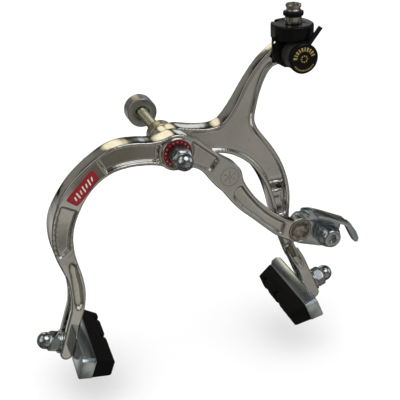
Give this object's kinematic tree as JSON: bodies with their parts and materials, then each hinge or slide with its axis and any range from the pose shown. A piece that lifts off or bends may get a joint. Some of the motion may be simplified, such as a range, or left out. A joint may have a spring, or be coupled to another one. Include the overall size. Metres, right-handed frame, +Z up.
{
  "type": "rim brake caliper",
  "caption": "Side-pull bicycle rim brake caliper with long-reach forged arms on one centre bolt, slotted legs, pads, cable anchor and quick-release adjuster.",
  "frame": {"origin": "on the centre bolt's axis, in the rear face of the spring bridge, which seats on the fork or frame bridge", "axes": "+Y rearward along the centre bolt into the fork, +Z up, +X to the side that carries the cable anchor and quick release"},
  "size_m": [0.1859, 0.0914, 0.1809],
  "materials": {
    "polished_aluminium": "polished",
    "yellow_zinc": "yellow passivated zinc",
    "bearing_brass": "plain",
    "red_anodised": "satin with a bright rim",
    "dark_steel": "blackened",
    "bright_zinc": "bright zinc",
    "satin_steel": "satin",
    "zinc_sheet": "clear zinc, satin",
    "polished_rivet": "polished",
    "black_moulding": "semi-gloss",
    "dark_moulding": "satin",
    "black_lever": "black satin",
    "bright_plating": "bright nickel",
    "spring_steel": "plain",
    "pad_rubber": "matt moulded"
  },
  "bodies": {
    "centre": {"centre_bolt": "yellow_zinc", "spring_bridge": "yellow_zinc", "rear_shim": "bearing_brass", "arm_spacer": "bearing_brass", "dress_washer": "red_anodised", "lock_nut": "dark_steel", "pivot_acorn_nut": "bright_zinc", "rear_nut": "satin_steel"},
    "front": {"front_arm": "polished_aluminium", "anchor_rivet": "polished_rivet", "spring_left": "spring_steel"},
    "rear": {"rear_arm": "polished_aluminium", "housing_stop": "black_moulding", "spring_right": "spring_steel"},
    "cam": {"cam_barrel": "dark_moulding", "cam_cap": "black_moulding", "qr_lever": "black_lever", "cam_clip": "dark_steel"},
    "adjuster": {"barrel_adjuster": "bright_plating", "lock_ring": "black_moulding"},
    "anchor": {"anchor_plate": "zinc_sheet", "anchor_bolt": "bright_zinc", "anchor_washer": "bright_zinc", "anchor_nut": "bright_zinc"},
    "left_fixing": {"left_cup_washer": "bright_zinc", "left_plain_washer": "bright_zinc", "left_acorn_nut": "bright_zinc"},
    "left_pad": {"left_pad_holder": "zinc_sheet", "left_pad_rubber": "pad_rubber", "left_pad_stud": "bright_zinc"},
    "right_fixing": {"right_cup_washer": "bright_zinc", "right_plain_washer": "bright_zinc", "right_acorn_nut": "bright_zinc"},
    "right_pad": {"right_pad_holder": "zinc_sheet", "right_pad_rubber": "pad_rubber", "right_pad_stud": "bright_zinc"}
  },
  "joints": [
    {"name": "front_arm_pivot", "type": "hinge", "parent": "centre", "child": "front", "pos_m": [0, -0.025, 0], "axis": [0, 1, 0], "range_deg": [-20, 0], "stiffness_Nm_per_rad": 0.6, "springref_deg": 22.92, "deforming": ["spring_left"]},
    {"name": "rear_arm_pivot", "type": "hinge", "parent": "centre", "child": "rear", "pos_m": [0, -0.0132, 0], "axis": [0, 1, 0], "range_deg": [0, 20], "stiffness_Nm_per_rad": 0.6, "springref_deg": -22.92, "deforming": ["spring_right"]},
    {"name": "quick_release", "type": "hinge", "parent": "rear", "child": "cam", "pos_m": [0.0688, -0.0185, 0.0399], "axis": [0, 1, 0], "range_deg": [0, 90]},
    {"name": "adjuster_lift", "type": "slide", "parent": "rear", "child": "adjuster", "axis": [0, 0, 1], "range_m": [0, 0.005]},
    {"name": "anchor_pivot", "type": "hinge", "parent": "front", "child": "anchor", "pos_m": [0.069, -0.023, -0.0584], "axis": [0, 1, 0], "range_deg": [-12, 12]},
    {"name": "left_pad_height", "type": "slide", "parent": "front", "child": "left_fixing", "axis": [0.3206, 0, 0.9472], "range_m": [0, 0.011]},
    {"name": "left_pad_toe", "type": "hinge", "parent": "left_fixing", "child": "left_pad", "pos_m": [-0.0651, -0.019, -0.1046], "axis": [-0.9472, 0, 0.3206], "range_deg": [-10, 10]},
    {"name": "right_pad_height", "type": "slide", "parent": "rear", "child": "right_fixing", "axis": [-0.3665, 0, 0.9304], "range_m": [0, 0.011]},
    {"name": "right_pad_toe", "type": "hinge", "parent": "right_fixing", "child": "right_pad", "pos_m": [0.0792, -0.019, -0.1009], "axis": [0.9304, 0, 0.3665], "range_deg": [-10, 10]}
  ],
  "couplings": [
    {"joint": "rear_arm_pivot", "follows": "front_arm_pivot", "ratio": -1}
  ]
}
